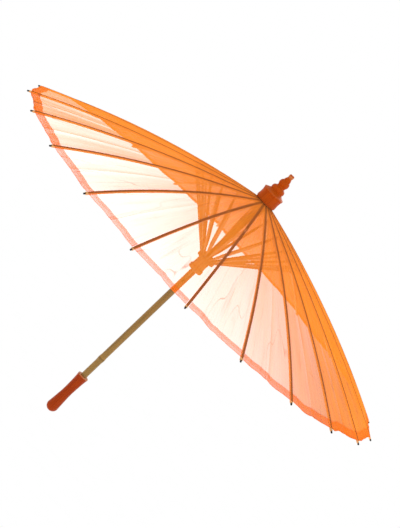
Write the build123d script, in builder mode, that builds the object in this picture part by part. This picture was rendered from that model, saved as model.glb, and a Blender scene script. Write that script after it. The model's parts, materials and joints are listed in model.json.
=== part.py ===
from build123d import *
import os
from math import asin, atan2, cos, degrees, hypot, radians, sin, sqrt

# Parasol with a split-bamboo frame, modelled open.
#
# A bamboo shaft carries a slotted crown at the top and a slotted runner that slides below it.
# Ribs hinge on a cord threaded round the crown. Each stretcher hinges in a slot of its rib and
# on a second cord round the runner, so that sliding the runner down folds every rib together.
# A fabric canopy is glued on the ribs and its edge is turned under between them.
#
# Millimetres. +Z runs up the shaft. The origin is the centre of the handle's flattened end.

# Whole object
RIB_COUNT = 22
TIP_RADIUS = 415.0  # axis to the end of a rib's tip cap
TIP_HEIGHT = 375.0  # height of the tip caps' ends
TOTAL_HEIGHT = 587.0
PITCH = 360 / RIB_COUNT
HALF_PITCH = radians(PITCH / 2)

# Hinge circles: crown (ribs) and runner (stretchers)
HINGE_RADIUS = 15.0
CROWN_HINGE_Z = 519.0
RUNNER_HINGE_Z = 385.0
CORD_RADIUS = 0.4
CORD_HOLE_RADIUS = CORD_RADIUS + 0.1
CORD_GROOVE_RADIUS = HINGE_RADIUS - CORD_RADIUS - 0.3
CORD_GROOVE_HEIGHT = 1.2

# Ribs
RIB_BOW = 12.0  # rise of the rib's arc above its chord
RIB_DEPTH = 3.0
RIB_WIDTH = 4.2
RIB_TONGUE_WIDTH = 1.8
RIB_TONGUE_END = 24.0  # radius where the tongue starts to widen
RIB_FULL_WIDTH_AT = 75.0
PIVOT_ALONG = 121.0  # crown hinge to stretcher pivot, along the rib
PIVOT_PIN_RADIUS = 0.6
RIB_SLOT_WIDTH = 2.0
RIB_SLOT_INWARD = 6.0
RIB_SLOT_OUTWARD = 21.0
TIP_CAP_LENGTH = 4.2
TIP_CAP_RADIUS = 1.5
TIP_CAP_ROUNDING = 1.2
TIP_SPIGOT_RADIUS = 0.9
TIP_SPIGOT_LENGTH = 2.2
TIP_BORE_LENGTH = TIP_SPIGOT_LENGTH + 0.2

# Stretchers
STRETCHER_DEPTH = 2.8
STRETCHER_WIDTH = 4.4
STRETCHER_TONGUE = 1.7
UPPER_TONGUE_LENGTH = 20.5
LOWER_TONGUE_LENGTH = 10.0
TONGUE_TAPER = 16.0

# Shaft
SHAFT_RADIUS = 5.9
SHAFT_BOTTOM = 22.0
SHAFT_TOP = 546.0
SHAFT_CHAMFER = 1.0
NODE_HEIGHT = 130.0  # the bamboo's knot above the handle
NODE_RISE = 0.6
NODE_HALF_LENGTH = 6.0
SEAT_CLEARANCE = 0.05
RUNNING_CLEARANCE = 0.1
PIN_CLEARANCE = 0.02  # a pin glued in its hole
PIN_TURNING_CLEARANCE = 0.06  # a pin that its lever turns on

# Crown and runner
HUB_RADIUS = 17.5
SLOT_WIDTH = 2.1
SLOT_BOTTOM_RADIUS = 12.6
CROWN_TOP = 520.8
CROWN_DISC_HEIGHT = 9.8
CROWN_NECK_RADIUS = 10.5
CROWN_BOTTOM = 497.0
CROWN_PIN_RADIUS = 0.8
CROWN_PIN_HEIGHT = 503.0
CROWN_PIN_LENGTH = 20.4
RUNNER_BOTTOM = 354.0
RUNNER_TOP = 390.0
RUNNER_HEAD_HEIGHT = 11.0
RUNNER_NECK_RADIUS = 11.6
RUNNER_FOOT_RADIUS = 13.6
RUNNER_FOOT_HEIGHT = 7.0
RUNNER_FOOT_CHAMFER = 1.5
HUB_CHAMFER = 1.0

# Spring catch under the runner
CATCH_WIDTH = 2.4
CATCH_PROUD = 2.8  # how far its top stands out of the shaft
CATCH_TOP = RUNNER_BOTTOM - 0.4
CATCH_PIVOT_Y = -2.2
CATCH_PIVOT_Z = 331.0
CATCH_PIN_RADIUS = 0.6
CATCH_PIN_LENGTH = 10.4
CATCH_THICKNESS = 1.3
CATCH_HEAD_HEIGHT = 2.5
CATCH_SLOT_CLEARANCE = 0.3

# Handle and finial
HANDLE_TOP = 86.0
HANDLE_END_RADIUS = 10.8
HANDLE_FLAT_RADIUS = 4.2  # the small flat under the ball end
HANDLE_WAIST_RADIUS = 8.6
HANDLE_RIM_RADIUS = 10.8
HANDLE_BORE_END = SHAFT_BOTTOM - 0.5
BALL_EXTENT = 6.0  # degrees above its middle where the ball end runs into the waist
FINIAL_BASE = 521.7
FINIAL_BORE_DEPTH = 26.3

# Canopy
FABRIC = 0.3
FABRIC_GAP = 0.4  # clear of the ribs' upper sides
CANOPY_EDGE_RADIUS = 408.0
CANOPY_TOP_RADIUS = 18.6
CANOPY_HOLE_RADIUS = 8.0
CANOPY_LEVELS = 10
HEM_DEPTH = 12.5
HEM_INSET = 1.5  # from the canopy's edge
HEM_GAP = 0.12  # below the canopy
HEM_RIB_CLEARANCE = 3.0

# The rib's centre line is an arc from the crown hinge to the tip, bowed upwards.
chord = (TIP_RADIUS - HINGE_RADIUS, TIP_HEIGHT - CROWN_HINGE_Z)
chord_length = hypot(*chord)
arc_radius = (chord_length**2 / 4 + RIB_BOW**2) / (2 * RIB_BOW)
chord_up = (-chord[1] / chord_length, chord[0] / chord_length)
arc_centre = (
    HINGE_RADIUS + chord[0] / 2 - chord_up[0] * (arc_radius - RIB_BOW),
    CROWN_HINGE_Z + chord[1] / 2 - chord_up[1] * (arc_radius - RIB_BOW),
)
arc_start = atan2(CROWN_HINGE_Z - arc_centre[1], HINGE_RADIUS - arc_centre[0])
arc_length = 2 * arc_radius * asin(chord_length / 2 / arc_radius)
rib_end = arc_length - TIP_CAP_LENGTH


def rib_point(along, rise=0.0):
    """(radius, height) at a distance along a rib from its hinge, and rise above its centre line."""
    angle = arc_start - along / arc_radius
    reach = arc_radius + rise
    return arc_centre[0] + reach * cos(angle), arc_centre[1] + reach * sin(angle)


def rib_top(radius):
    """Height of the ribs' upper side at a distance from the axis."""
    reach = arc_radius + RIB_DEPTH / 2
    return arc_centre[1] + sqrt(reach**2 - (radius - arc_centre[0]) ** 2)


pivot = rib_point(PIVOT_ALONG)
runner_hinge = (HINGE_RADIUS, RUNNER_HINGE_Z)
stretcher_length = hypot(pivot[0] - runner_hinge[0], pivot[1] - runner_hinge[1])


def azimuth(number):
    return radians(PITCH * (number - 1))


def side_plane(number):
    """The upright plane of a rib: x runs outwards from the axis and y runs up."""
    a = azimuth(number)
    return Plane(origin=(0, 0, 0), x_dir=(cos(a), sin(a), 0), z_dir=(sin(a), -cos(a), 0))


def plan_plane(number):
    """The level plane at the origin, with x running outwards along a rib."""
    a = azimuth(number)
    return Plane(origin=(0, 0, 0), x_dir=(cos(a), sin(a), 0), z_dir=(0, 0, 1))


def end_plane(number):
    """Square to the rib where its tip cap starts, facing outwards."""
    side = side_plane(number)
    inner, end = rib_point(rib_end - 0.5), rib_point(rib_end + 0.5)
    return Plane(
        origin=side.from_local_coords(Vector(*rib_point(rib_end), 0)),
        x_dir=side.z_dir,
        z_dir=side.from_local_coords(Vector(*end, 0)) - side.from_local_coords(Vector(*inner, 0)),
    )


def make_rib(number):
    """A split-bamboo rib, its dark tip cap and the pin that carries its stretcher."""
    half = RIB_DEPTH / 2
    with BuildPart() as strip:
        with BuildSketch(side_plane(number)):
            with BuildLine():
                stations = (0, rib_end / 2, rib_end)
                upper = ThreePointArc(*[rib_point(along, half) for along in stations])
                lower = ThreePointArc(*[rib_point(along, -half) for along in reversed(stations)])
                Line(upper @ 1, lower @ 0)
                ThreePointArc(lower @ 1, rib_point(-half), upper @ 0)
            make_face()
        extrude(amount=RIB_WIDTH / 2, both=True)
        with BuildSketch(plan_plane(number)):
            with BuildLine():
                outline = [
                    (HINGE_RADIUS - RIB_DEPTH, RIB_TONGUE_WIDTH / 2),
                    (RIB_TONGUE_END, RIB_TONGUE_WIDTH / 2),
                    (RIB_FULL_WIDTH_AT, RIB_WIDTH / 2),
                    (TIP_RADIUS, RIB_WIDTH / 2),
                ]
                Polyline(*outline, *[(x, -y) for x, y in reversed(outline)], close=True)
            make_face()
        extrude(amount=TOTAL_HEIGHT, mode=Mode.INTERSECT)
        with BuildSketch(side_plane(number)):
            with BuildLine():
                near = PIVOT_ALONG - RIB_SLOT_INWARD
                far = PIVOT_ALONG + RIB_SLOT_OUTWARD
                corners = [(near, -RIB_DEPTH), (far, -RIB_DEPTH), (far, RIB_DEPTH), (near, RIB_DEPTH)]
                Polyline(*[rib_point(along, rise) for along, rise in corners], close=True)
            make_face()
        extrude(amount=RIB_SLOT_WIDTH / 2, both=True, mode=Mode.SUBTRACT)
        with BuildSketch(side_plane(number)):
            with Locations(rib_point(0)):
                Circle(CORD_HOLE_RADIUS)
            with Locations(pivot):
                Circle(PIVOT_PIN_RADIUS + PIN_CLEARANCE)
        extrude(amount=RIB_WIDTH, both=True, mode=Mode.SUBTRACT)
        with BuildSketch(end_plane(number)):
            Circle(TIP_SPIGOT_RADIUS)
        extrude(amount=TIP_SPIGOT_LENGTH)
    with BuildPart() as cap:
        with BuildSketch(end_plane(number)):
            Circle(TIP_CAP_RADIUS)
        extrude(amount=TIP_CAP_LENGTH)
        outward = Axis((0, 0, 0), end_plane(number).z_dir)
        fillet(cap.edges().sort_by(outward)[-1], TIP_CAP_ROUNDING)
        with BuildSketch(end_plane(number)):
            Circle(TIP_SPIGOT_RADIUS + PIN_CLEARANCE)
        extrude(amount=TIP_BORE_LENGTH, mode=Mode.SUBTRACT)
    with BuildPart() as pin:
        with BuildSketch(side_plane(number)):
            with Locations(pivot):
                Circle(PIVOT_PIN_RADIUS)
        extrude(amount=RIB_WIDTH / 2, both=True)
    rib = Compound(label=f"rib_{number:02d}", children=[strip.part, cap.part, pin.part])
    export_step(rib, f"parts/rib_{number:02d}.step")


def make_stretcher(number):
    """A straight bamboo strut with a thin tongue at each end, from the rib's pivot to the runner."""
    side = side_plane(number)
    top = side.from_local_coords(Vector(*pivot, 0))
    bottom = side.from_local_coords(Vector(*runner_hinge, 0))
    flat = Plane(origin=top, x_dir=bottom - top, z_dir=side.z_dir)
    edge_on = Plane(origin=top, x_dir=bottom - top, z_dir=flat.y_dir)
    tongue = STRETCHER_TONGUE / 2
    full = STRETCHER_WIDTH / 2
    length = stretcher_length
    with BuildPart() as strut:
        with BuildSketch(flat):
            with Locations((length / 2, 0)):
                SlotCenterToCenter(length, STRETCHER_DEPTH)
        extrude(amount=full, both=True)
        with BuildSketch(edge_on):
            with BuildLine():
                outline = [
                    (-STRETCHER_DEPTH, tongue),
                    (UPPER_TONGUE_LENGTH, tongue),
                    (UPPER_TONGUE_LENGTH + TONGUE_TAPER, full),
                    (length - LOWER_TONGUE_LENGTH - TONGUE_TAPER, full),
                    (length - LOWER_TONGUE_LENGTH, tongue),
                    (length + STRETCHER_DEPTH, tongue),
                ]
                Polyline(*outline, *[(x, -y) for x, y in reversed(outline)], close=True)
            make_face()
        extrude(amount=STRETCHER_DEPTH, both=True, mode=Mode.INTERSECT)
        with BuildSketch(flat):
            Circle(PIVOT_PIN_RADIUS + PIN_TURNING_CLEARANCE)
            with Locations((length, 0)):
                Circle(CORD_HOLE_RADIUS)
        extrude(amount=STRETCHER_WIDTH, both=True, mode=Mode.SUBTRACT)
    strut.part.label = f"stretcher_{number:02d}"
    export_step(strut.part, f"parts/stretcher_{number:02d}.step")


def make_cord(height, name):
    """A cord pulled straight through each hinge hole, turning between them."""
    corner_radius = HINGE_RADIUS / cos(HALF_PITCH)
    corners = []
    for number in range(1, RIB_COUNT + 1):
        between = azimuth(number + 0.5)
        corners.append((corner_radius * cos(between), corner_radius * sin(between), height))
    start = Vector(*corners[0])
    following = Vector(*corners[1])
    middle = (start + following) / 2
    with BuildPart() as cord:
        with BuildLine():
            Polyline(middle, *corners[1:], corners[0], middle)
        with BuildSketch(Plane(origin=middle, z_dir=following - start)):
            Circle(CORD_RADIUS)
        sweep(transition=Transition.RIGHT)
    cord.part.label = name
    export_step(cord.part, f"parts/{name}.step")


def make_slot_cutter(low, high, hinge_z):
    """The radial slots and the cord's groove that are cut out of a hub."""
    outside = HUB_RADIUS + 1
    with BuildPart() as cutter:
        with BuildSketch(Plane.XY.offset(low)):
            with PolarLocations((SLOT_BOTTOM_RADIUS + outside) / 2, RIB_COUNT):
                Rectangle(outside - SLOT_BOTTOM_RADIUS, SLOT_WIDTH)
        extrude(amount=high - low)
        with BuildSketch(Plane.XY.offset(hinge_z - CORD_GROOVE_HEIGHT / 2)):
            Circle(outside)
            Circle(CORD_GROOVE_RADIUS, mode=Mode.SUBTRACT)
        extrude(amount=CORD_GROOVE_HEIGHT)
    return cutter.part


def make_crown():
    """The hub pinned on the shaft: a plain neck under a disc with one slot for each rib."""
    disc_bottom = CROWN_TOP - CROWN_DISC_HEIGHT
    slots = make_slot_cutter(disc_bottom, CROWN_TOP, CROWN_HINGE_Z)
    with BuildPart() as crown:
        with BuildSketch(Plane.XY.offset(CROWN_BOTTOM)):
            Circle(CROWN_NECK_RADIUS)
        extrude(amount=disc_bottom - CROWN_BOTTOM)
        chamfer(crown.edges().group_by(Axis.Z)[0], HUB_CHAMFER)
        with BuildSketch(Plane.XY.offset(disc_bottom)):
            Circle(HUB_RADIUS)
        extrude(amount=CROWN_DISC_HEIGHT)
        add(slots, mode=Mode.SUBTRACT)
        with BuildSketch(Plane.XY.offset(CROWN_BOTTOM)):
            Circle(SHAFT_RADIUS + SEAT_CLEARANCE)
        extrude(amount=CROWN_TOP - CROWN_BOTTOM, mode=Mode.SUBTRACT)
        with BuildSketch(Plane.YZ):
            with Locations((0, CROWN_PIN_HEIGHT)):
                Circle(CROWN_PIN_RADIUS + PIN_CLEARANCE)
        extrude(amount=CROWN_NECK_RADIUS + 1, both=True, mode=Mode.SUBTRACT)
    crown.part.label = "crown_hub"
    export_step(crown.part, "parts/crown_hub.step")


def make_runner():
    """The sliding hub: a head with one slot for each stretcher, a neck and a foot for the hand."""
    head_bottom = RUNNER_TOP - RUNNER_HEAD_HEIGHT
    foot_top = RUNNER_BOTTOM + RUNNER_FOOT_HEIGHT
    slots = make_slot_cutter(head_bottom, RUNNER_TOP, RUNNER_HINGE_Z)
    with BuildPart() as runner:
        with BuildSketch(Plane.XZ):
            with BuildLine():
                Polyline(
                    (RUNNER_NECK_RADIUS, foot_top + 2),
                    (RUNNER_FOOT_RADIUS, foot_top),
                    (RUNNER_FOOT_RADIUS, RUNNER_BOTTOM + RUNNER_FOOT_CHAMFER),
                    (RUNNER_FOOT_RADIUS - RUNNER_FOOT_CHAMFER, RUNNER_BOTTOM),
                    (SHAFT_RADIUS + RUNNING_CLEARANCE, RUNNER_BOTTOM),
                    (SHAFT_RADIUS + RUNNING_CLEARANCE, RUNNER_TOP),
                    (HUB_RADIUS - HUB_CHAMFER, RUNNER_TOP),
                    (HUB_RADIUS, RUNNER_TOP - HUB_CHAMFER),
                    (HUB_RADIUS, head_bottom + HUB_CHAMFER),
                    (HUB_RADIUS - HUB_CHAMFER, head_bottom),
                    (RUNNER_NECK_RADIUS, head_bottom),
                    close=True,
                )
            make_face()
        revolve(axis=Axis.Z)
        add(slots, mode=Mode.SUBTRACT)
    runner.part.label = "runner"
    export_step(runner.part, "parts/runner.step")


def catch_outline():
    """The catch's side view as (y, z) points: a lever that leans out of the shaft above its pivot."""
    top_y = -SHAFT_RADIUS - CATCH_PROUD
    back_y = CATCH_PIVOT_Y + CATCH_THICKNESS
    front_y = CATCH_PIVOT_Y - CATCH_THICKNESS
    return [
        (back_y, CATCH_PIVOT_Z - CATCH_THICKNESS),
        (front_y, CATCH_PIVOT_Z - CATCH_THICKNESS),
        (front_y, CATCH_PIVOT_Z + CATCH_THICKNESS),
        (top_y, CATCH_TOP - CATCH_HEAD_HEIGHT),
        (top_y, CATCH_TOP),
        (top_y + 2 * CATCH_THICKNESS, CATCH_TOP),
        (back_y, CATCH_PIVOT_Z + CATCH_THICKNESS),
    ]


def make_catch():
    """The bamboo spring catch that holds the runner up, on its pin."""
    with BuildPart() as catch:
        with BuildSketch(Plane.YZ):
            with BuildLine():
                Polyline(*catch_outline(), close=True)
            make_face()
        extrude(amount=CATCH_WIDTH / 2, both=True)
        with BuildSketch(Plane.YZ):
            with Locations((CATCH_PIVOT_Y, CATCH_PIVOT_Z)):
                Circle(CATCH_PIN_RADIUS + PIN_TURNING_CLEARANCE)
        extrude(amount=CATCH_WIDTH, both=True, mode=Mode.SUBTRACT)
    catch.part.label = "spring_catch"
    export_step(catch.part, "parts/spring_catch.step")


def make_cross_pin(name, radius, length, y, z):
    """A pin along X through the shaft."""
    with BuildPart() as pin:
        with BuildSketch(Plane.YZ):
            with Locations((y, z)):
                Circle(radius)
        extrude(amount=length / 2, both=True)
    pin.part.label = name
    export_step(pin.part, f"parts/{name}.step")


def make_shaft():
    """The bamboo shaft with its knot, the slot for the spring catch and the holes for two pins."""
    slot_low = CATCH_PIVOT_Z - 4
    slot_high = CATCH_TOP + 3
    slot_depth = SHAFT_RADIUS + 3
    node_low = NODE_HEIGHT - NODE_HALF_LENGTH
    node_high = NODE_HEIGHT + NODE_HALF_LENGTH
    with BuildPart() as shaft:
        with BuildSketch(Plane.XZ):
            with BuildLine():
                Polyline(
                    (SHAFT_RADIUS, node_low),
                    (SHAFT_RADIUS, SHAFT_BOTTOM + SHAFT_CHAMFER),
                    (SHAFT_RADIUS - SHAFT_CHAMFER, SHAFT_BOTTOM),
                    (0, SHAFT_BOTTOM),
                    (0, SHAFT_TOP),
                    (SHAFT_RADIUS - SHAFT_CHAMFER, SHAFT_TOP),
                    (SHAFT_RADIUS, SHAFT_TOP - SHAFT_CHAMFER),
                    (SHAFT_RADIUS, node_high),
                )
                ThreePointArc(
                    (SHAFT_RADIUS, node_high),
                    (SHAFT_RADIUS + NODE_RISE, NODE_HEIGHT),
                    (SHAFT_RADIUS, node_low),
                )
            make_face()
        revolve(axis=Axis.Z)
        with BuildSketch(Plane.YZ):
            with Locations((1 - slot_depth / 2, (slot_low + slot_high) / 2)):
                Rectangle(slot_depth, slot_high - slot_low)
        extrude(amount=CATCH_WIDTH / 2 + CATCH_SLOT_CLEARANCE, both=True, mode=Mode.SUBTRACT)
        with BuildSketch(Plane.YZ):
            with Locations((CATCH_PIVOT_Y, CATCH_PIVOT_Z)):
                Circle(CATCH_PIN_RADIUS + PIN_CLEARANCE)
            with Locations((0, CROWN_PIN_HEIGHT)):
                Circle(CROWN_PIN_RADIUS + PIN_CLEARANCE)
        extrude(amount=SHAFT_RADIUS + 1, both=True, mode=Mode.SUBTRACT)
    shaft.part.label = "shaft"
    export_step(shaft.part, "parts/shaft.step")


def make_handle():
    """A turned grip: ball end, slim waist, and a flared rim round the shaft."""
    bore = SHAFT_RADIUS + SEAT_CLEARANCE
    ball_height = sqrt(HANDLE_END_RADIUS**2 - HANDLE_FLAT_RADIUS**2)
    ball_start = -degrees(atan2(ball_height, HANDLE_FLAT_RADIUS))
    with BuildPart() as handle:
        with BuildSketch(Plane.XZ):
            with BuildLine():
                ball_sweep = BALL_EXTENT - ball_start
                ball = CenterArc((0, ball_height), HANDLE_END_RADIUS, ball_start, ball_sweep)
                side = Spline(
                    ball @ 1,
                    (9.7, 25),
                    (HANDLE_WAIST_RADIUS, 46),
                    (9.2, 66),
                    (HANDLE_RIM_RADIUS, HANDLE_TOP - 2),
                    tangents=[ball % 1, (0.2, 1)],
                )
                Polyline(
                    side @ 1,
                    (HANDLE_RIM_RADIUS, HANDLE_TOP - 0.8),
                    (HANDLE_RIM_RADIUS - 0.8, HANDLE_TOP),
                    (bore, HANDLE_TOP),
                    (bore, HANDLE_BORE_END),
                    (0, HANDLE_BORE_END),
                    (0, 0),
                    ball @ 0,
                )
            make_face()
        revolve(axis=Axis.Z)
    handle.part.label = "handle"
    export_step(handle.part, "parts/handle.step")


def make_finial():
    """A turned pagoda finial: drum, collar, two beads and a button, on a blind bore."""
    bore = SHAFT_RADIUS + SEAT_CLEARANCE
    height = TOTAL_HEIGHT - FINIAL_BASE
    base = Plane(origin=(0, 0, FINIAL_BASE), x_dir=(1, 0, 0), z_dir=(0, -1, 0))
    with BuildPart() as finial:
        with BuildSketch(base):
            with BuildLine():
                Polyline((0, FINIAL_BORE_DEPTH), (bore, FINIAL_BORE_DEPTH), (bore, 0))
                foot = Polyline((bore, 0), (18.7, 0), (19.8, 1.8), (19.8, 4.3))
                drum = ThreePointArc(foot @ 1, (19.3, 11.3), (20.1, 18.7))
                lid = Polyline(drum @ 1, (20.6, 19.9), (20.6, 22.1), (13.6, 25.7), (12.2, 27.3))
                collar = ThreePointArc(lid @ 1, (12.9, 31.3), (10.4, 35.3))
                neck = Polyline(collar @ 1, (7.9, 37.1), (7.7, 39.3))
                bead = ThreePointArc(neck @ 1, (9.5, 44.7), (7.5, 50.3))
                groove = Polyline(bead @ 1, (6.2, 51.1), (6.4, 52.9))
                small_bead = ThreePointArc(groove @ 1, (5.2, 55.7), (4.0, 58.7))
                Polyline(small_bead @ 1, (4.7, 60.1), (4.7, height - 1.6), (3.6, height), (0, height))
                Line((0, height), (0, FINIAL_BORE_DEPTH))
            make_face()
        revolve(axis=Axis.Z)
    finial.part.label = "finial"
    export_step(finial.part, "parts/finial.step")


def canopy_levels():
    """(radius, height of the fabric's underside) from the crown to the edge."""
    levels = [(CANOPY_TOP_RADIUS, CROWN_TOP + FABRIC_GAP / 2)]
    for step in range(1, CANOPY_LEVELS + 1):
        radius = CANOPY_TOP_RADIUS + (CANOPY_EDGE_RADIUS - CANOPY_TOP_RADIUS) * step / CANOPY_LEVELS
        levels.append((radius, rib_top(radius) + FABRIC_GAP))
    return levels


def make_tent(lift):
    """A solid tent with one flat side between each pair of ribs."""
    ring = [azimuth(number) for number in range(1, RIB_COUNT + 1)]
    with BuildPart() as tent:
        for radius, height in canopy_levels():
            with BuildSketch(Plane.XY.offset(height + lift)):
                with BuildLine():
                    Polyline(*[(radius * cos(a), radius * sin(a)) for a in ring], close=True)
                make_face()
        loft(ruled=True)
    return tent.part


def make_canopy():
    """The fabric: a thin tent over the ribs, with a hole for the finial's bore."""
    outside = make_tent(FABRIC)
    inside = make_tent(0)
    with BuildPart() as canopy:
        add(outside)
        add(inside, mode=Mode.SUBTRACT)
        with BuildSketch(Plane.XY.offset(CROWN_TOP)):
            Circle(CANOPY_HOLE_RADIUS)
        extrude(amount=2, mode=Mode.SUBTRACT)
    canopy.part.label = "canopy"
    export_step(canopy.part, "parts/canopy.step")


def make_hem():
    """The turned-under edge: one strip under each panel, stopping short of the ribs."""
    (inner_r, inner_z), (outer_r, outer_z) = canopy_levels()[-2:]
    fall = (inner_z - outer_z) / (outer_r - inner_r)  # height lost per unit of radius at a rib
    edge_r = CANOPY_EDGE_RADIUS - HEM_INSET
    edge_z = outer_z + fall * HEM_INSET - HEM_GAP
    half_outer = edge_r * sin(HALF_PITCH) - HEM_RIB_CLEARANCE
    half_inner = (edge_r - HEM_DEPTH) * sin(HALF_PITCH) - HEM_RIB_CLEARANCE
    strips = []
    for number in range(1, RIB_COUNT + 1):
        a = azimuth(number + 0.5)
        across = Vector(-sin(a), cos(a), 0)
        outwards = Vector(cos(a), sin(a), 0)
        run_out = outwards * cos(HALF_PITCH) + Vector(0, 0, -fall)
        middle = outwards * (edge_r * cos(HALF_PITCH)) + Vector(0, 0, edge_z)
        under_side = Plane(origin=middle, x_dir=across, z_dir=across.cross(run_out))
        depth = HEM_DEPTH * run_out.length
        with BuildPart() as strip:
            with BuildSketch(under_side):
                with BuildLine():
                    Polyline(
                        (half_outer, 0),
                        (half_inner, -depth),
                        (-half_inner, -depth),
                        (-half_outer, 0),
                        close=True,
                    )
                make_face()
            extrude(amount=FABRIC)
        strips.append(strip.part)
    hem = Compound(label="canopy_hem", children=strips)
    export_step(hem, "parts/canopy_hem.step")


os.makedirs("parts", exist_ok=True)
make_shaft()
make_handle()
make_finial()
make_crown()
make_cross_pin("crown_pin", CROWN_PIN_RADIUS, CROWN_PIN_LENGTH, 0, CROWN_PIN_HEIGHT)
make_cord(CROWN_HINGE_Z, "crown_cord")
make_runner()
make_cord(RUNNER_HINGE_Z, "runner_cord")
make_catch()
make_cross_pin("catch_pin", CATCH_PIN_RADIUS, CATCH_PIN_LENGTH, CATCH_PIVOT_Y, CATCH_PIVOT_Z)
make_canopy()
make_hem()
for rib_number in range(1, RIB_COUNT + 1):
    make_rib(rib_number)
    make_stretcher(rib_number)
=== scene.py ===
import json
import math
import random

import bpy
from mathutils import Matrix, Vector


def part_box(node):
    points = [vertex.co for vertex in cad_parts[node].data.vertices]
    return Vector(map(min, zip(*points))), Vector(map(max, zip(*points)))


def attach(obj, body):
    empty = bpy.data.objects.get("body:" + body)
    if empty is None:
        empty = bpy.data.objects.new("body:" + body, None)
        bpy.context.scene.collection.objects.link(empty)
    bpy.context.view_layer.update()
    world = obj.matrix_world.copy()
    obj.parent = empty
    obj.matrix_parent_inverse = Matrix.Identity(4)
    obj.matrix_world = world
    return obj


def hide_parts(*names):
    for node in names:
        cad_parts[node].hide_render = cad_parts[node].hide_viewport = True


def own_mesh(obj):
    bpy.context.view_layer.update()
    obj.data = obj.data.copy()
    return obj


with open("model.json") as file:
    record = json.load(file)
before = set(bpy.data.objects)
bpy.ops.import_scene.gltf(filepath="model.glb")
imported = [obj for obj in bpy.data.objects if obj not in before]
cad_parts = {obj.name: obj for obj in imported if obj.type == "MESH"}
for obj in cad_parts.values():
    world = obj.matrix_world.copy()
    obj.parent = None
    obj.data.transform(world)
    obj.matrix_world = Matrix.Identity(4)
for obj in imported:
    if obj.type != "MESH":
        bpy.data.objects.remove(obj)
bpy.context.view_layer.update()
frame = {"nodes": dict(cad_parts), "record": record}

nodes = frame["nodes"]
joints = {joint["name"]: joint for joint in frame["record"]["behaviour"]["joints"]}

# Lengths are in metres and angles in radians.
RIB_COUNT = 22
RIB_NUMBERS = range(1, RIB_COUNT + 1)
PITCH = 2 * math.pi / RIB_COUNT  # from one rib to the next
HALF = PITCH / 2  # from a rib to a mid-panel crease

# ---------------------------------------------------------------- node helpers


# Where the Mix node takes its factor and its two colours, and where it gives the mixed colour.
MIX_INPUTS = (0, 6, 7)
MIX_OUTPUT = 2


class Shader:
    """A short way to write the nodes of a material or a world: most calls make one and return its output."""

    def __init__(self, owner, output="ShaderNodeOutputMaterial"):
        owner.use_nodes = True
        self.owner = owner
        self.tree = owner.node_tree
        self.tree.nodes.clear()
        self.out = self.tree.nodes.new(output)

    def feed(self, socket, value):
        """Link another node's output to an input, or give the input its own value."""
        if isinstance(value, bpy.types.NodeSocket):
            self.tree.links.new(value, socket)
        else:
            socket.default_value = value

    def node(self, kind, inputs=None, output=0, **settings):
        made = self.tree.nodes.new(kind)
        for key, value in settings.items():
            setattr(made, key, value)
        for key, value in (inputs or {}).items():
            self.feed(made.inputs[key], value)
        return made.outputs[output]

    def place(self):
        """Position in the object's own frame."""
        return self.node("ShaderNodeTexCoord", output="Object")

    def split(self, vector):
        made = self.tree.nodes.new("ShaderNodeSeparateXYZ")
        self.tree.links.new(vector, made.inputs[0])
        return made.outputs

    def join(self, x, y, z):
        return self.node("ShaderNodeCombineXYZ", {0: x, 1: y, 2: z})

    def stretch(self, parts, scales):
        """A vector of parts, each times its own scale."""
        return self.join(*[self.math("MULTIPLY", part, scale) for part, scale in zip(parts, scales)])

    def math(self, operation, a, b=0.0, clamp=False):
        return self.node("ShaderNodeMath", {0: a, 1: b}, operation=operation, use_clamp=clamp)

    def noise(self, vector, scale, detail=3.0, roughness=0.55, distortion=0.0):
        values = {
            "Vector": vector,
            "Scale": scale,
            "Detail": detail,
            "Roughness": roughness,
            "Distortion": distortion,
        }
        return self.node("ShaderNodeTexNoise", values)

    def remap(self, value, low, high, to_low=0.0, to_high=1.0, clamp=True):
        values = {"Value": value, "From Min": low, "From Max": high, "To Min": to_low, "To Max": to_high}
        return self.node("ShaderNodeMapRange", values, clamp=clamp)

    def mix(self, factor, a, b):
        """From colour a to colour b by a factor. A colour is an output or three numbers."""
        made = self.tree.nodes.new("ShaderNodeMix")
        made.data_type = "RGBA"
        for index, value in zip(MIX_INPUTS, (factor, a, b)):
            self.feed(made.inputs[index], (*value, 1) if isinstance(value, tuple) else value)
        return made.outputs[MIX_OUTPUT]

    def bump(self, height, strength, distance):
        return self.node("ShaderNodeBump", {"Height": height, "Strength": strength, "Distance": distance})

    def surface(self, colour, roughness, normal=None, **extra):
        inputs = {"Base Color": colour, "Roughness": roughness}
        if normal is not None:
            inputs["Normal"] = normal
        inputs.update({key.replace("_", " "): value for key, value in extra.items()})
        return self.node("ShaderNodeBsdfPrincipled", inputs)

    def finish(self, shader):
        self.tree.links.new(shader, self.out.inputs["Surface"])
        return self.owner


def new_shader(name):
    return Shader(bpy.data.materials.new(name))


def times(colour, share):
    return tuple(part * share for part in colour)


def radial_and_angle(s):
    """Distance from the shaft's axis, the angle round it in rib spacings, and the height."""
    x, y, z = s.split(s.place())
    distance = s.math("POWER", s.math("ADD", s.math("MULTIPLY", x, x), s.math("MULTIPLY", y, y)), 0.5)
    angle = s.math("MULTIPLY", s.math("ARCTAN2", y, x), 1 / PITCH)
    return distance, angle, z


# ---------------------------------------------------------------- materials

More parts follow.
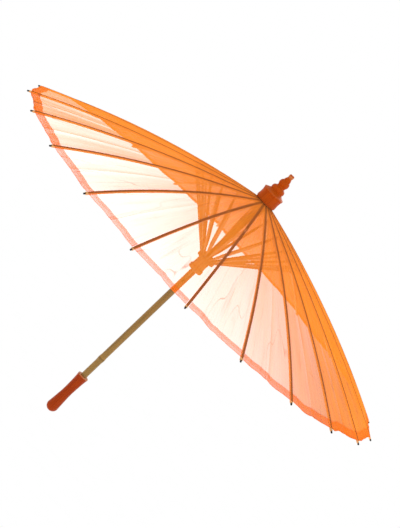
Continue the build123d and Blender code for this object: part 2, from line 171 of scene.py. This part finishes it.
CAP_BLUR = 0.0002
PALE_EDGE_BLUR = 0.0008
KNOT_DARK = (0.0006, 0.0032)  # the dark ring fades out between these distances from the knot
KNOT_PALE_RISE = 0.004  # the pale ring is this much higher
KNOT_PALE = (0.0004, 0.003)
RIB_SHADE_BAND = (0.0018, 0.0032)  # painted shade of the rib, which blocks the light from behind the cloth: it fades out between these distances from a rib's middle
# How far the edge of the painted rib shade wanders
RIB_SHADE_WANDER = 0.0003
TRANSLUCENT_SHARE = 0.56  # of the light that meets the cloth's yarns
SHEEN_SHARE = 0.06
CREASE_SHUT = 0.60  # share of the gaps between the yarns that a pressed line closes
YARN_WIDTH = 0.00055
YARN_WAVE = 0.159  # makes the wave texture's period one yarn
LEAST_FACING = 0.20  # edge on, the cloth gets no denser than this
CLEAR_TINT = (1.0, 0.90, 0.945, 1)  # of the light that passes the gaps between the yarns


def bamboo(name, light, dark, along, fibre_scale, roughness=0.42, cap_from=None, node_rings=()):
    """Split bamboo: long fibres in two tones, vessel flecks, darker patches, and knots where asked."""
    s = new_shader(name)
    distance, angle, z = radial_and_angle(s)
    parts = (angle, distance, z)
    if along == "radial":
        lengthwise = s.stretch(parts, (20.0, 14.0, 30.0))
        crosswise = s.stretch(parts, (fibre_scale, 6.0, 260.0))
    else:
        lengthwise = s.stretch(parts, (0.5, 80.0, 16.0))
        crosswise = s.stretch(parts, (fibre_scale, 400.0, 7.0))
    fibres = s.noise(crosswise, 3.0, 6.0, 0.7)
    patches = s.noise(lengthwise, 1.0, 4.0, 0.6)
    flecks = s.remap(s.noise(crosswise, 9.0, 2.0, 0.5), 0.60, 0.72)
    colour = s.mix(s.remap(fibres, 0.33, 0.67), dark, light)
    colour = s.mix(s.remap(patches, 0.45, 0.75, 0.0, 0.45), colour, times(dark, 0.55))
    colour = s.mix(s.math("MULTIPLY", flecks, 0.35), colour, times(dark, 0.35))
    height = s.math("ADD", fibres, s.math("MULTIPLY", flecks, -0.5))
    rough = s.remap(fibres, 0.3, 0.7, roughness - 0.08, roughness + 0.14)
    for ring in node_rings:
        away = s.math("ABSOLUTE", s.math("SUBTRACT", z, ring))
        band = s.remap(away, *KNOT_DARK, 1.0, 0.0)
        colour = s.mix(s.math("MULTIPLY", band, 0.30), colour, times(dark, 0.4))
        above = s.math("ABSOLUTE", s.math("SUBTRACT", z, ring + KNOT_PALE_RISE))
        pale = s.remap(above, *KNOT_PALE, 0.3, 0.0)
        colour = s.mix(pale, colour, times(light, 1.3))
        height = s.math("ADD", height, s.math("MULTIPLY", band, 2.0))
    if cap_from is not None:
        capped = s.remap(distance, cap_from - CAP_BLUR, cap_from + CAP_BLUR)
        scuffs = s.remap(s.noise(s.place(), 900.0, 3.0), 0.55, 0.75, 0.0, 0.5)
        dark_cap = s.mix(scuffs, (0.012, 0.011, 0.010), (0.07, 0.055, 0.045))
        colour = s.mix(capped, colour, dark_cap)
        rough = s.mix(capped, rough, (0.35, 0.35, 0.35))
    normal = s.bump(height, 0.5, 0.0003)
    shine = {"Specular_IOR_Level": 0.2, "Coat_Weight": 0.05, "Coat_Roughness": 0.3}
    return s.finish(s.surface(colour, rough, normal, **shine))


def lacquer(name, base, deep, wear, rings, gloss=0.28, wear_amount=0.25, pale_edges=()):
    """Stained and varnished turned wood: grain under the colour, tool rings, worn spots."""
    s = new_shader(name)
    distance, angle, z = radial_and_angle(s)
    parts = (angle, distance, z)
    grain = s.noise(s.stretch(parts, (1.6, 160.0, 14.0)), 2.4, 6.0, 0.65, 0.4)
    blotch = s.noise(s.place(), 60.0, 3.0, 0.6)
    pores = s.remap(s.noise(s.stretch(parts, (9.0, 500.0, 60.0)), 3.0, 3.0), 0.62, 0.74)
    turning = s.noise(s.join(0.0, 0.0, s.math("MULTIPLY", z, rings)), 1.0, 2.0)
    colour = s.mix(s.remap(grain, 0.36, 0.66), base, deep)
    colour = s.mix(s.remap(blotch, 0.45, 0.75, 0.0, 0.35), colour, deep)
    colour = s.mix(s.math("MULTIPLY", pores, 0.5), colour, times(deep, 0.3))
    edge = s.node("ShaderNodeNewGeometry", output="Pointiness")
    rubbing = s.remap(s.noise(s.place(), 240.0, 4.0), 0.40, 0.62)
    worn = s.math("MULTIPLY", s.remap(edge, 0.53, 0.60), rubbing)
    colour = s.mix(s.math("MULTIPLY", worn, wear_amount), colour, wear)
    for low, high, strength in pale_edges:
        above = s.remap(z, low, low + PALE_EDGE_BLUR)
        below = s.remap(z, high - PALE_EDGE_BLUR, high, 1.0, 0.0)
        uneven = s.remap(s.noise(s.place(), 420.0, 3.0), 0.35, 0.6, 0.3, 1.0)
        rubbed = s.math("MULTIPLY", s.math("MULTIPLY", above, below), uneven)
        colour = s.mix(s.math("MULTIPLY", rubbed, strength), colour, wear)
    tooled = s.math("ADD", s.math("MULTIPLY", turning, 0.7), s.math("MULTIPLY", pores, -0.6))
    height = s.math("ADD", s.math("MULTIPLY", grain, 0.5), tooled)
    rough = s.remap(grain, 0.3, 0.7, gloss, gloss + 0.16)
    normal = s.bump(height, 0.35, 0.0004)
    return s.finish(s.surface(colour, rough, normal, Specular_IOR_Level=0.07))


def cord_material():
    """Twisted thread."""
    s = new_shader("cord_thread")
    distance, angle, z = radial_and_angle(s)
    wound = s.join(s.math("MULTIPLY", angle, 9.0), 0.0, s.math("MULTIPLY", z, 900.0))
    wave = {"Vector": wound, "Scale": 1.0, "Distortion": 1.2}
    twist = s.node("ShaderNodeTexWave", wave, output="Fac", bands_direction="DIAGONAL")
    fuzz = s.noise(s.place(), 2600.0, 3.0)
    colour = s.mix(s.remap(twist, 0.2, 0.8), (0.42, 0.30, 0.17), (0.72, 0.60, 0.42))
    colour = s.mix(s.remap(fuzz, 0.4, 0.7, 0.0, 0.4), colour, (0.80, 0.72, 0.58))
    normal = s.bump(s.math("ADD", twist, s.math("MULTIPLY", fuzz, 0.4)), 0.8, 0.0002)
    return s.finish(s.surface(colour, 0.85, normal))


def steel_material():
    """Drawn wire with fine length marks and a little tarnish."""
    s = new_shader("pin_steel")
    marks = s.noise(s.stretch(s.split(s.place()), (60.0, 3000.0, 3000.0)), 1.0, 3.0)
    tarnish = s.noise(s.place(), 700.0, 4.0)
    colour = s.mix(s.remap(marks, 0.3, 0.7), (0.42, 0.41, 0.39), (0.62, 0.61, 0.58))
    colour = s.mix(s.remap(tarnish, 0.52, 0.75, 0.0, 0.6), colour, (0.20, 0.13, 0.08))
    rough = s.remap(tarnish, 0.3, 0.7, 0.28, 0.55)
    return s.finish(s.surface(colour, rough, s.bump(marks, 0.3, 0.0001), Metallic=1.0))


def yarns(s, position):
    """Waves one yarn wide, counted along one direction."""
    steps = s.join(s.math("MULTIPLY", position, 1 / YARN_WIDTH), 0.0, 0.0)
    wave = {"Vector": steps, "Scale": YARN_WAVE, "Distortion": 0.6, "Detail": 1.0}
    return s.node("ShaderNodeTexWave", wave, output="Fac")


def cloth_bands(s, angle, distance, around, lengthwise, offset=0.0):
    """A vector for noise that runs along the gores, with its own scale each way."""
    return s.join(s.math("MULTIPLY", angle, around), s.math("MULTIPLY", distance, lengthwise), offset)


def crease_lines(s, angle, distance):
    """Thin pressed lines that wander from crown to edge and come and go."""
    wander = s.noise(cloth_bands(s, angle, distance, 2.6, 6.0, 3.0), 1.0, 1.0, 0.4)
    line = s.remap(s.math("ABSOLUTE", s.math("SUBTRACT", wander, 0.5)), 0.0, 0.006, 1.0, 0.0)
    pressed = s.remap(s.noise(cloth_bands(s, angle, distance, 1.3, 8.0, 7.0), 1.0, 2.0), 0.42, 0.54)
    return s.math("MULTIPLY", line, pressed)


def see_through(s, openness):
    """Share of light that passes straight through: less where the cloth is seen edge on."""
    looks = s.node("ShaderNodeNewGeometry", output="Incoming")
    outward = s.node("ShaderNodeNewGeometry", output="Normal")
    facing = s.node("ShaderNodeVectorMath", {0: looks, 1: outward}, output="Value", operation="DOT_PRODUCT")
    square_on = s.math("MAXIMUM", s.math("ABSOLUTE", facing), LEAST_FACING)
    return s.math("POWER", openness, s.math("DIVIDE", 1.0, square_on))


def cloth_material(name, openness):
    """Thin dyed cloth: part see-through, part glowing, with yarns, slubs, creases and uneven dye, and painted
    shade in its folds, along its pressed lines and over the ribs.
    """
    s = new_shader(name)
    distance, angle, z = radial_and_angle(s)
    place = s.place()
    x, y = s.split(place)[:2]
    weave = s.math("MULTIPLY", s.math("ADD", yarns(s, x), yarns(s, y)), 0.5)
    creases = s.noise(cloth_bands(s, angle, distance, 7.5, 5.0), 1.6, 5.0, 0.62, 0.5)
    fine = s.noise(cloth_bands(s, angle, distance, 30.0, 13.0), 1.3, 4.0, 0.6)
    slub_place = s.join(s.math("MULTIPLY", x, 40.0), s.math("MULTIPLY", y, 900.0), 0.0)
    slubs = s.remap(s.noise(slub_place, 1.0, 2.0), 0.66, 0.78)
    tone = s.remap(s.noise(place, 9.0, 4.0, 0.6), 0.3, 0.7, 0.93, 1.04)
    line = crease_lines(s, angle, distance)
    # The folds' hollows are denser cloth, and their darker colour is painted shade.
    folded = s.math("MAXIMUM", s.remap(creases, 0.30, 0.46, 0.55, 0.0), line)
    from_rib = s.math("MULTIPLY", s.math("MULTIPLY", s.math("PINGPONG", angle, 0.5), PITCH), distance)
    # Painted shade: the cloth over each rib is darkened where the rib blocks the light from behind.
    rib_shade_edge = s.math("ADD", from_rib, s.remap(fine, 0.3, 0.7, -RIB_SHADE_WANDER, RIB_SHADE_WANDER))
    rib_shaded = s.remap(rib_shade_edge, *RIB_SHADE_BAND, 1.0, 0.0)

    orange = s.mix(s.remap(fine, 0.35, 0.65), (0.97, 0.245, 0.014), (0.98, 0.300, 0.026))
    orange = s.mix(s.math("MULTIPLY", slubs, 0.35), orange, (0.80, 0.17, 0.012))
    # Painted shade in the hollows of the folds and along the pressed lines.
    orange = s.mix(folded, orange, (0.84, 0.200, 0.016))
    orange = s.mix(s.math("MULTIPLY", line, 0.5), orange, (0.50, 0.19, 0.07))
    # Painted shade over the ribs.
    orange = s.mix(s.math("MULTIPLY", rib_shaded, 0.70), orange, (0.33, 0.115, 0.018))
    orange = s.node("ShaderNodeHueSaturation", {"Value": tone, "Color": orange})

    rough = s.math("ADD", s.math("MULTIPLY", creases, 2.2), s.math("MULTIPLY", fine, 0.5))
    normal = s.bump(s.math("ADD", s.math("MULTIPLY", weave, 0.25), rough), 0.35, 0.0012)
    thick = s.math("MULTIPLY", s.math("ADD", folded, slubs), 0.35)
    shut = s.math("MAXIMUM", thick, s.math("MULTIPLY", line, CREASE_SHUT))
    gaps = s.math("MULTIPLY", see_through(s, openness), s.math("SUBTRACT", 1.0, shut))
    cover = s.math("SUBTRACT", s.remap(weave, 0.2, 0.8, 0.985, 1.015), gaps, clamp=True)

    front = s.node("ShaderNodeBsdfDiffuse", {"Color": orange, "Roughness": 0.6, "Normal": normal})
    through = s.node("ShaderNodeBsdfTranslucent", {"Color": orange, "Normal": normal})
    sheen = s.node("ShaderNodeBsdfSheen", {"Color": (1.0, 0.72, 0.5, 1), "Roughness": 0.4, "Normal": normal})
    body = s.node("ShaderNodeMixShader", {0: TRANSLUCENT_SHARE, 1: front, 2: through})
    body = s.node("ShaderNodeMixShader", {0: SHEEN_SHARE, 1: body, 2: sheen})
    clear = s.node("ShaderNodeBsdfTransparent", {"Color": CLEAR_TINT})
    return s.finish(s.node("ShaderNodeMixShader", {0: cover, 1: clear, 2: body}))


SHAFT_KNOT = 0.130
HANDLE_PALE_RIM = (0.0842, 0.0872, 0.5)  # from, to, strength
FINIAL_PALE_TOP = (0.5795, 0.5850, 0.55)
# On each side a rib's strip is wider than this and its tip cap narrower, so the cap starts at the strip's end.
CAP_HALF_WIDTH = 0.0018
CAP_START = max(v.co.x for v in nodes["rib_01"].data.vertices if abs(v.co.y) > CAP_HALF_WIDTH)

rib_bamboo = bamboo(
    "rib_bamboo", (0.90, 0.47, 0.17), (0.56, 0.26, 0.085), "radial", 260.0, cap_from=CAP_START
)
stretcher_bamboo = bamboo("stretcher_bamboo", (0.50, 0.28, 0.12), (0.32, 0.155, 0.06), "radial", 240.0)
shaft_bamboo = bamboo(
    "shaft_bamboo", (0.36, 0.205, 0.050), (0.15, 0.083, 0.014), "axial", 2.2, 0.34, node_rings=(SHAFT_KNOT,)
)
catch_bamboo = bamboo("catch_bamboo", (0.50, 0.32, 0.12), (0.33, 0.18, 0.06), "axial", 3.0, 0.4)
handle_lacquer = lacquer(
    "handle_lacquer",
    (0.36, 0.046, 0.001),
    (0.22, 0.021, 0.0005),
    (0.72, 0.44, 0.20),
    900.0,
    pale_edges=(HANDLE_PALE_RIM,),
)
# The handle's lacquer with brighter, more orange colours: painted light, for a finial that is lit more than
# the handle.
finial_lacquer = lacquer(
    "finial_lacquer",
    (0.52, 0.085, 0.001),
    (0.38, 0.052, 0.0005),
    (0.70, 0.36, 0.14),
    1100.0,
    gloss=0.36,
    wear_amount=0.35,
    pale_edges=(FINIAL_PALE_TOP,),
)
hub_wood = lacquer(
    "hub_wood", (0.46, 0.27, 0.11), (0.31, 0.16, 0.06), (0.62, 0.42, 0.22), 1500.0, gloss=0.5
)
cord_thread = cord_material()
pin_steel = steel_material()
canopy_cloth = cloth_material("canopy_cloth", openness=0.60)


def paint(node, material):
    obj = nodes[node]
    obj.data.materials.clear()
    obj.data.materials.append(material)


for node, material in {
    "shaft": shaft_bamboo,
    "handle": handle_lacquer,
    "finial": finial_lacquer,
    "crown_hub": hub_wood,
    "runner": hub_wood,
    "crown_pin": pin_steel,
    "catch_pin": pin_steel,
    "crown_cord": cord_thread,
    "runner_cord": cord_thread,
    "spring_catch": catch_bamboo,
}.items():
    paint(node, material)
for number in RIB_NUMBERS:
    paint(f"rib_{number:02d}", rib_bamboo)
    paint(f"stretcher_{number:02d}", stretcher_bamboo)


STRIP_EDGE = 0.00025
HUB_EDGE = 0.0002


def soften(node, width):
    """Broken edges on a hard piece, as sanding leaves them."""
    bevel = nodes[node].modifiers.new("broken_edges", "BEVEL")
    bevel.width = width
    bevel.segments = 2
    bevel.limit_method = "ANGLE"
    bevel.angle_limit = math.radians(40)
    bevel.harden_normals = False


for number in RIB_NUMBERS:
    soften(f"rib_{number:02d}", STRIP_EDGE)
    soften(f"stretcher_{number:02d}", STRIP_EDGE)
for node in ("crown_hub", "runner", "spring_catch"):
    soften(node, HUB_EDGE)

# ---------------------------------------------------------------- canopy

TIP_FACE_LOW = 0.0006  # the tip cap's end face reaches this far below the end of the rib's centre line
RIB_HALF_DEPTH = 0.0015
CLOTH_GAP = 0.0006  # from the rib's upper side to the cloth
CROWN_GAP = 0.0004  # from the crown's top to the cloth
HEM_LAP = 0.0023  # the soft hem laps this much further over the tips than the CAD canopy
HEM_DEPTH = 0.0150
HEM_UNEVEN = 0.28  # how much that depth varies, as a share
# Each row of the turned-under part: how far below the sheet and how far in from the edge it lies.
HEM_TURN = [(0.0, 0.0), (0.0004, 0.0003), (0.0008, 0.0010)]
HEM_FLAT = [(0.0009 + 0.0002 * k / 4, 0.0010 + (HEM_DEPTH - 0.0010) * k / 4) for k in range(1, 5)]
HEM_ROWS = HEM_TURN + HEM_FLAT
TOP_RADIUS = 0.0156
SAG = 0.0030
# The sag follows part of a half wave: where it starts at the crown, and how much of it reaches the edge.
SAG_AT_CROWN, SAG_GROWTH = 0.25, 0.62
SLACK_START, SLACK_LENGTH = 0.02, 0.30  # the cloth is taut up to this radius and slack this much further out
CREASE_RIDGE = 0.0009
RIPPLE = 0.0011
CREASE_RIPPLE = 0.0007
EDGE_FLUTTER = 0.0012
EDGE_WAVE = 0.0075
EDGE_NOTCH = 0.0022  # how far the edge draws in beside a rib
NOTCH_STEP = 2.4  # the notches' depths differ from rib to rib by this angle of a wave
# These three are shares: of the half gore, of the half gore, and of the way from crown to edge.
RIDGE_WIDTH = 0.10
NOTCH_WIDTH = 0.22
FLUTTER_START = 0.86
# How much of the noise a gore spans, from rib to crease and from crown to edge.
RIPPLE_ACROSS, RIPPLE_ALONG = 0.42, 1.7
CREASE_ALONG = 6.0
EDGE_ACROSS = 0.13
# Where along the noise the cut edge and the hem's depth are read.
EDGE_READ = 2.0
HEM_READ = 9.0
NOISE_WAVES = 9
# Least and most of a wave's rate across the gore, phase, rate along the gore and size.
NOISE_BOUNDS = ((5, 34), (0, 6.3), (0.5, 3.5), (0.4, 1.0))
EDGE_BOW = (-0.0034, 0.0016)  # the cut edge bows in or out between two ribs by as much as this
COLUMNS = 9  # from a rib to a mid-panel crease
ROWS = 46
ROW_CROWDING = 0.09
HEM_COLUMN = 0.052  # share of the half gore kept clear of hem beside the rib

rib_low, rib_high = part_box("rib_01")
hinge = Vector(joints["rib_01_fold"]["pos_m"])
TIP_RADIUS = rib_high[0]
RIM_HEIGHT = rib_low[2] + TIP_FACE_LOW
EDGE_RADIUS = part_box("canopy")[1][0] + HEM_LAP
CROWN_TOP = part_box("crown_hub")[1][2]


def arc_through(first, second, third):
    """Centre and radius of the circle through three points in the rib's upright plane."""
    along, across = second - first, third - first
    scale = 2 * (along.x * across.y - along.y * across.x)
    offset = Vector((
        across.y * along.length_squared - along.y * across.length_squared,
        along.x * across.length_squared - across.x * along.length_squared,
    )) / scale
    return first + offset, offset.length


# The rib's centre line runs through its hinge, its stretcher's pivot and its tip.
pivot = Vector(joints["stretcher_01_fold"]["pos_m"])
arc_centre, arc_radius = arc_through(
    Vector((hinge.x, hinge.z)), Vector((pivot.x, pivot.z)), Vector((TIP_RADIUS, RIM_HEIGHT))
)


def top_of_rib(radius):
    reach = arc_radius + RIB_HALF_DEPTH
    return arc_centre.y + math.sqrt(reach**2 - (radius - arc_centre.x) ** 2)


def sheet_height(radius):
    """The cloth's height over a rib: on the rib's upper side, and level over the crown."""
    return min(top_of_rib(radius) + CLOTH_GAP, CROWN_TOP + CROWN_GAP)


def column_share(column):
    """Where a column of points lies, from the rib (0) to the crease (1)."""
    if column == 0:
        return 0.0
    return HEM_COLUMN + (1 - HEM_COLUMN) * (column - 1) / (COLUMNS - 1)


def gore_noise(seed):
    """Smooth bumps and hollows along one gore: a few cosine waves with settled random phases."""
    source = random.Random(seed)
    waves = [[source.uniform(*bounds) for bounds in NOISE_BOUNDS] for _ in range(NOISE_WAVES)]

    def value(across, along):
        total = 0.0
        for around, phase, lengthwise, size in waves:
            total += size * math.cos(around * across + phase + lengthwise * along)
        return total / len(waves)

    return value


EDGE_BOWS = [random.Random(50 + n).uniform(*EDGE_BOW) for n in range(RIB_COUNT)]
CREASE_WAVES = {n: gore_noise(100 + n) for n in range(RIB_COUNT)}
GORE_WAVES = {(n, side): gore_noise(1000 + 2 * n + (side > 0)) for n in RIB_NUMBERS for side in (-1, 1)}


def crease_key(number, side):
    """The same seed for both gores that meet at a crease."""
    return (number if side > 0 else number - 1) % RIB_COUNT


def edge_radius(number, side, share):
    """Radius of the cut edge, from a rib (0) to the mid-panel crease (1). It is pulled about unevenly."""
    straight = EDGE_RADIUS * math.cos(HALF) / math.cos(HALF * (1 - share))
    bow = EDGE_BOWS[crease_key(number, side)] * (1 - (1 - share) ** 2)
    own = EDGE_WAVE * math.sin(math.pi * share) * GORE_WAVES[(number, side)](share * EDGE_ACROSS, EDGE_READ)
    depth = 0.5 + 0.5 * math.cos(NOTCH_STEP * number + side)
    notch = -EDGE_NOTCH * max(0.0, 1 - share / NOTCH_WIDTH) ** 2 * depth
    return straight + bow + own + notch


def gore_point(number, side, share, along, drop=0.0, inward=0.0):
    """A point of the gore over rib `number`: share runs from rib to crease, along from crown to edge.

    Apart from its sag and ripples the gore is flat from rib to crease, so it is nearer the shaft there.
    """
    away = HALF * share
    flat = math.cos(HALF) / math.cos(HALF - away)
    outer = edge_radius(number, side, share)
    along -= inward / flat / (outer / flat - TOP_RADIUS)
    on_rib = TOP_RADIUS + (outer / flat - TOP_RADIUS) * along
    radius = on_rib * flat
    height = sheet_height(on_rib)
    slack = min(1.0, max(0.0, (on_rib - SLACK_START) / SLACK_LENGTH))
    hang = 1 - (1 - share) ** 2
    sag = SAG * hang * slack * math.sin(math.pi * (SAG_AT_CROWN + SAG_GROWTH * along))
    crease = CREASE_RIDGE * max(0.0, 1 - (1 - share) / RIDGE_WIDTH) * slack
    shared = CREASE_WAVES[crease_key(number, side)](0.0, along * CREASE_ALONG)
    own = GORE_WAVES[(number, side)](share * RIPPLE_ACROSS, along * RIPPLE_ALONG)
    weight = math.sin(math.pi * share) ** 0.8
    ripple = (RIPPLE * weight * own + CREASE_RIPPLE * share * shared) * slack
    near_edge = max(0.0, (along - FLUTTER_START) / (1 - FLUTTER_START))
    flutter = EDGE_FLUTTER * near_edge * math.sin(math.pi * share) * shared
    height += -sag + crease + ripple + flutter - drop
    angle = PITCH * (number - 1) + side * away
    return Vector((radius * math.cos(angle), radius * math.sin(angle), height))


def new_mesh(name, points, faces, material):
    mesh = bpy.data.meshes.new(name)
    mesh.from_pydata([tuple(p) for p in points], [], faces)
    mesh.materials.append(material)
    for polygon in mesh.polygons:
        polygon.use_smooth = True
    mesh.update()
    obj = bpy.data.objects.new(name, mesh)
    bpy.context.scene.collection.objects.link(obj)
    return obj


def along_at(row):
    """Rows crowd towards the crown and the edge."""
    share = row / ROWS
    return share - ROW_CROWDING * math.sin(2 * math.pi * share) / math.pi


def quad(column, row):
    """Columns and rows of one face's corners."""
    return (column, row), (column + 1, row), (column + 1, row + 1), (column, row + 1)


def make_gore(number):
    """One rib's share of the canopy, crease to crease, with its edge turned under between the ribs."""
    points, faces = [], []
    index = {}

    def point(key, position):
        if key not in index:
            index[key] = len(points)
            points.append(position)
        return index[key]

    spans = [(side, column) for side in (-1, 1) for column in range(COLUMNS)]
    for side, column in spans:
        for row in range(ROWS):
            corners = []
            for c, r in quad(column, row):
                position = gore_point(number, side, column_share(c), along_at(r))
                corners.append(point((side if c else 0, c, r), position))
            faces.append(corners if side < 0 else corners[::-1])
    for side, column in spans:
        if column == 0:
            continue
        for row in range(len(HEM_ROWS) - 1):
            corners = []
            for c, r in quad(column, row):
                drop, inward = HEM_ROWS[r]
                pulled = CREASE_WAVES[crease_key(number, side)](0.0, HEM_READ) * column_share(c)
                inward *= 1 + HEM_UNEVEN * pulled
                key = (side, c, ROWS) if r == 0 else (side, c, "hem", r)
                position = gore_point(number, side, column_share(c), 1.0, drop, inward)
                corners.append(point(key, position))
            faces.append(corners if side < 0 else corners[::-1])
    gore = new_mesh(f"canopy_gore_{number:02d}", points, faces, canopy_cloth)
    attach(gore, f"rib_{number:02d}")
    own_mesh(gore)
    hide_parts("canopy", "canopy_hem")


COLLAR_PUCKER = 0.00012
# Radius of each ring of the collar, and its height above the crown.
COLLAR_RINGS = [(0.0058, 0.0006), (0.010, 0.00055), (0.014, 0.0005), (0.0172, 0.0004), (0.0186, 0.0001)]


def make_collar():
    """The patch of cloth pinched between the crown and the finial."""
    steps = 4 * RIB_COUNT
    points, faces = [], []
    for ring, (radius, rise) in enumerate(COLLAR_RINGS):
        for step in range(steps):
            angle = 2 * math.pi * step / steps
            pucker = COLLAR_PUCKER * ring / len(COLLAR_RINGS) * math.cos(RIB_COUNT * angle)
            height = CROWN_TOP + rise + pucker
            points.append(Vector((radius * math.cos(angle), radius * math.sin(angle), height)))
    for ring in range(len(COLLAR_RINGS) - 1):
        here, outer = ring * steps, (ring + 1) * steps
        for step in range(steps):
            after = (step + 1) % steps
            faces.append((here + step, here + after, outer + after, outer + step))
    collar = new_mesh("canopy_collar", points, faces, canopy_cloth)
    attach(collar, "shaft_assembly")
    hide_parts("canopy")


for number in RIB_NUMBERS:
    make_gore(number)
make_collar()

# ---------------------------------------------------------------- light, floor and camera


# Brightness of the white surround seen through cloth, across the frame from left to right.
SURROUND_LEFT = 3.50
SURROUND_RIGHT = 1.15
# From FADE_START to FADE_END, as shares of the frame's width, it falls faster.
FADE_START = 0.64
FADE_END = 0.86
SURROUND_MIDDLE = 1.80
SURROUND_DIM = 0.30
# A camera that looks steeply down sees the floor, which isn't overexposed. These are sines of that angle.
STEEP_START = 0.50
STEEP_END = 0.85
SURROUND_BELOW = 0.80
# Brightness of the studio as it lights the object.
WORLD_DARK_SIDE = 0.80
WORLD_KEY_SIDE = 1.05
KEY_SIDE = (1.0, -0.35, 0.0)
FLOOR_LIGHT = 1.5
FLOOR_SIZE = 8.0
FLOOR_PARTS = 8
FLOOR_DROP = 0.0005
LIGHTS_ROUND = Vector((0, 0, 0.35))


def surround_glow(s):
    """Paper white where the camera sees it bare; overexposed through cloth, more so on the frame's left."""
    across = s.split(s.node("ShaderNodeTexCoord", output="Window"))[0]
    wide = s.remap(across, 0.0, 1.0, SURROUND_LEFT, SURROUND_RIGHT)
    fading = s.remap(across, FADE_START, FADE_END, SURROUND_MIDDLE, SURROUND_DIM, clamp=False)
    level = s.math("MAXIMUM", s.math("MINIMUM", wide, fading), SURROUND_DIM)
    downward = s.split(s.node("ShaderNodeNewGeometry", output="Incoming"))[2]
    steep = s.remap(downward, STEEP_START, STEEP_END, SURROUND_LEFT, SURROUND_BELOW)
    through = s.math("MINIMUM", level, steep)
    layers = s.node("ShaderNodeLightPath", output="Transparent Depth")
    veiled = s.math("GREATER_THAN", layers, 0.5)
    return s.math("ADD", s.math("MULTIPLY", veiled, s.math("SUBTRACT", through, 1.0)), 1.0)


def make_world():
    """A studio that is brighter on one side, and that the camera sees as the surround."""
    world = bpy.data.worlds.new("studio")
    bpy.context.scene.world = world
    s = Shader(world, "ShaderNodeOutputWorld")
    path = s.node("ShaderNodeLightPath", output="Is Camera Ray")
    sides = {0: s.place(), 1: tuple(Vector(KEY_SIDE).normalized())}
    facing = s.node("ShaderNodeVectorMath", sides, output="Value", operation="DOT_PRODUCT")
    studio = s.remap(facing, -1.0, 1.0, WORLD_DARK_SIDE, WORLD_KEY_SIDE)
    strength = s.mix(path, studio, surround_glow(s))
    s.finish(s.node("ShaderNodeBackground", {"Color": (1, 1, 1, 1), "Strength": strength}))


def make_floor():
    """A white floor that reads as paper white: it glows for the camera and lights the cloth from below."""
    s = new_shader("floor_paper")
    path = s.node("ShaderNodeLightPath", output="Is Camera Ray")
    speckle = s.remap(s.noise(s.place(), 30.0, 4.0), 0.3, 0.7, 0.995, 1.005)
    glow = s.math("MULTIPLY", speckle, s.mix(path, (FLOOR_LIGHT,) * 3, surround_glow(s)))
    paper = s.finish(s.node("ShaderNodeEmission", {"Color": (1, 1, 1, 1), "Strength": glow}))
    lines = [FLOOR_SIZE * (step / FLOOR_PARTS - 0.5) for step in range(FLOOR_PARTS + 1)]
    points = [Vector((x, y, -FLOOR_DROP)) for x in lines for y in lines]
    corners = [i * len(lines) + j for i in range(FLOOR_PARTS) for j in range(FLOOR_PARTS)]
    faces = [(c, c + len(lines), c + len(lines) + 1, c + 1) for c in corners]
    new_mesh("floor", points, faces, paper)


def softbox(name, direction, distance, size, power):
    """A round soft light that faces the middle of the object from a direction."""
    light = bpy.data.lights.new(name, "AREA")
    light.shape = "DISK"
    light.size = size
    light.energy = power
    obj = bpy.data.objects.new(name, light)
    away = Vector(direction).normalized()
    obj.location = LIGHTS_ROUND + away * distance
    obj.rotation_mode = "QUATERNION"
    obj.rotation_quaternion = away.to_track_quat("Z", "Y")
    bpy.context.scene.collection.objects.link(obj)


make_world()
make_floor()
softbox("key", (0.85, -0.50, -0.10), 2.2, 1.1, 4)
softbox("back", (0.10, 0.9, 0.5), 2.4, 1.4, 15)

CAMERA_AZIMUTH = math.radians(3.89)
CAMERA_ELEVATION = math.radians(9.43)
CAMERA_ROLL = math.radians(46.29)
CAMERA_DISTANCE = 7.246  # in rib-tip radii
AIM_RIGHT = -0.0015  # from the rim's centre, in rib-tip radii
AIM_UP = -0.0144
LENS = 120.6  # in millimetres, as is the sensor
SENSOR_WIDTH = 36


def make_camera():
    """Stands where the photograph was taken, with the roll that tilts the parasol in the frame."""
    data = bpy.data.cameras.new("camera")
    data.lens = LENS
    data.sensor_width = SENSOR_WIDTH
    data.clip_start, data.clip_end = 0.05, 60
    obj = bpy.data.objects.new("camera", data)
    bpy.context.scene.collection.objects.link(obj)
    back = Vector((
        math.sin(CAMERA_AZIMUTH) * math.cos(CAMERA_ELEVATION),
        -math.cos(CAMERA_AZIMUTH) * math.cos(CAMERA_ELEVATION),
        math.sin(CAMERA_ELEVATION),
    ))
    right = Vector((math.cos(CAMERA_AZIMUTH), math.sin(CAMERA_AZIMUTH), 0))
    up = back.cross(right)
    aim = Vector((0, 0, RIM_HEIGHT)) + (right * AIM_RIGHT + up * AIM_UP) * TIP_RADIUS
    turned = Matrix((right, up, back)).transposed() @ Matrix.Rotation(CAMERA_ROLL, 3, "Z")
    obj.matrix_world = Matrix.Translation(aim + back * CAMERA_DISTANCE * TIP_RADIUS) @ turned.to_4x4()
    bpy.context.scene.camera = obj


make_camera()
bpy.context.scene.view_settings.view_transform = "Standard"
